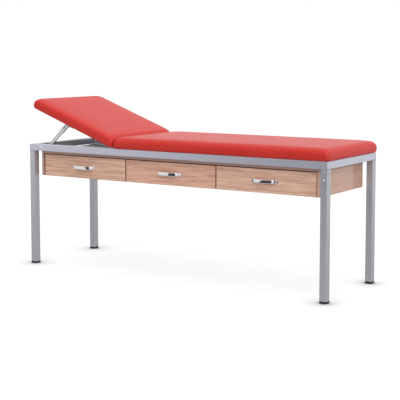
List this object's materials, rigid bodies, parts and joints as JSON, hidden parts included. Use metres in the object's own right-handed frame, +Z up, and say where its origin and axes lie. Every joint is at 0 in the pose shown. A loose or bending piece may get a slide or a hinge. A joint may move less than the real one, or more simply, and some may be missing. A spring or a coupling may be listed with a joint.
{
  "type": "examination table with drawers",
  "caption": "Long padded examination table on square tube legs, with a lifting backrest held by ratchet stays and a wooden drawer cabinet hung under the bed.",
  "frame": {"origin": "centre of the table on the floor", "axes": "+X from the head end to the foot end, -Y towards the drawer fronts, +Z up"},
  "size_m": [2.012, 0.625, 1.0077],
  "materials": {
    "silver_grey_paint": "satin",
    "zinc_plate": "satin",
    "dark_steel": "satin",
    "chrome": "polished",
    "black_plastic": "matte",
    "runner_plastic": "satin",
    "oak_board": "satin",
    "box_wood": "satin",
    "bed_wood": "matte",
    "red_vinyl": "satin"
  },
  "bodies": {
    "frame": {"front_rail": "silver_grey_paint", "rear_rail": "silver_grey_paint", "head_rail": "silver_grey_paint", "foot_rail": "silver_grey_paint", "hinge_cross_rail": "silver_grey_paint", "bed_cross_rail": "silver_grey_paint", "leg_front_head": "silver_grey_paint", "leg_socket_front_head": "zinc_plate", "foot_cap_front_head": "black_plastic", "leg_front_foot": "silver_grey_paint", "leg_socket_front_foot": "zinc_plate", "foot_cap_front_foot": "black_plastic", "leg_rear_head": "silver_grey_paint", "leg_socket_rear_head": "zinc_plate", "foot_cap_rear_head": "black_plastic", "leg_rear_foot": "silver_grey_paint", "leg_socket_rear_foot": "zinc_plate", "foot_cap_rear_foot": "black_plastic", "cabinet_top": "oak_board", "cabinet_head_end": "oak_board", "cabinet_foot_end": "oak_board", "cabinet_back": "oak_board", "cabinet_divider_1": "oak_board", "cabinet_divider_2": "oak_board", "runner_1_left": "runner_plastic", "runner_1_right": "runner_plastic", "runner_2_left": "runner_plastic", "runner_2_right": "runner_plastic", "runner_3_left": "runner_plastic", "runner_3_right": "runner_plastic", "body_cushion": "red_vinyl", "body_board": "bed_wood", "hinge_fixed_leaf": "zinc_plate", "hinge_pin": "zinc_plate", "stay_bolt_front": "zinc_plate", "stay_bolt_rear": "zinc_plate"},
    "backrest": {"backrest_cushion": "red_vinyl", "backrest_board": "bed_wood", "hinge_moving_leaf": "zinc_plate", "stay_bracket_front": "zinc_plate", "stay_bracket_rear": "zinc_plate"},
    "stay_bar_front": {"stay_bar_front": "zinc_plate"},
    "stay_sheath_front": {"stay_sheath_front": "zinc_plate", "stay_pawl_front": "dark_steel"},
    "stay_bar_rear": {"stay_bar_rear": "zinc_plate"},
    "stay_sheath_rear": {"stay_sheath_rear": "zinc_plate", "stay_pawl_rear": "dark_steel"},
    "drawer_1": {"drawer_1_front": "oak_board", "drawer_1_box": "box_wood", "drawer_1_bottom": "box_wood", "drawer_1_handle": "chrome"},
    "drawer_2": {"drawer_2_front": "oak_board", "drawer_2_box": "box_wood", "drawer_2_bottom": "box_wood", "drawer_2_handle": "chrome"},
    "drawer_3": {"drawer_3_front": "oak_board", "drawer_3_box": "box_wood", "drawer_3_bottom": "box_wood", "drawer_3_handle": "chrome"}
  },
  "joints": [
    {"name": "backrest_tilt", "type": "hinge", "parent": "frame", "child": "backrest", "pos_m": [-0.373, 0, 0.7282], "axis": [0, 1, 0], "range_deg": [-20.2, 0]},
    {"name": "stay_bar_front_pivot", "type": "hinge", "parent": "frame", "child": "stay_bar_front", "pos_m": [-0.9095, -0.2305, 0.717], "axis": [0, -1, 0], "range_deg": [-43.9, 0]},
    {"name": "stay_sheath_front_slide", "type": "slide", "parent": "stay_bar_front", "child": "stay_sheath_front", "axis": [0.7394, 0, 0.6732], "range_m": [-0.073, 0]},
    {"name": "stay_bar_rear_pivot", "type": "hinge", "parent": "frame", "child": "stay_bar_rear", "pos_m": [-0.9095, 0.2305, 0.717], "axis": [0, -1, 0], "range_deg": [-43.9, 0]},
    {"name": "stay_sheath_rear_slide", "type": "slide", "parent": "stay_bar_rear", "child": "stay_sheath_rear", "axis": [0.7394, 0, 0.6732], "range_m": [-0.073, 0]},
    {"name": "drawer_1_slide", "type": "slide", "parent": "frame", "child": "drawer_1", "axis": [0, -1, 0], "range_m": [0, 0.36]},
    {"name": "drawer_2_slide", "type": "slide", "parent": "frame", "child": "drawer_2", "axis": [0, -1, 0], "range_m": [0, 0.36]},
    {"name": "drawer_3_slide", "type": "slide", "parent": "frame", "child": "drawer_3", "axis": [0, -1, 0], "range_m": [0, 0.36]}
  ],
  "couplings": [
    {"joint": "stay_bar_front_pivot", "follows": "backrest_tilt", "ratio": 2.1728},
    {"joint": "stay_sheath_front_slide", "follows": "backrest_tilt", "m_per_rad": 0.20687},
    {"joint": "stay_bar_rear_pivot", "follows": "backrest_tilt", "ratio": 2.1728},
    {"joint": "stay_sheath_rear_slide", "follows": "backrest_tilt", "m_per_rad": 0.20687}
  ]
}
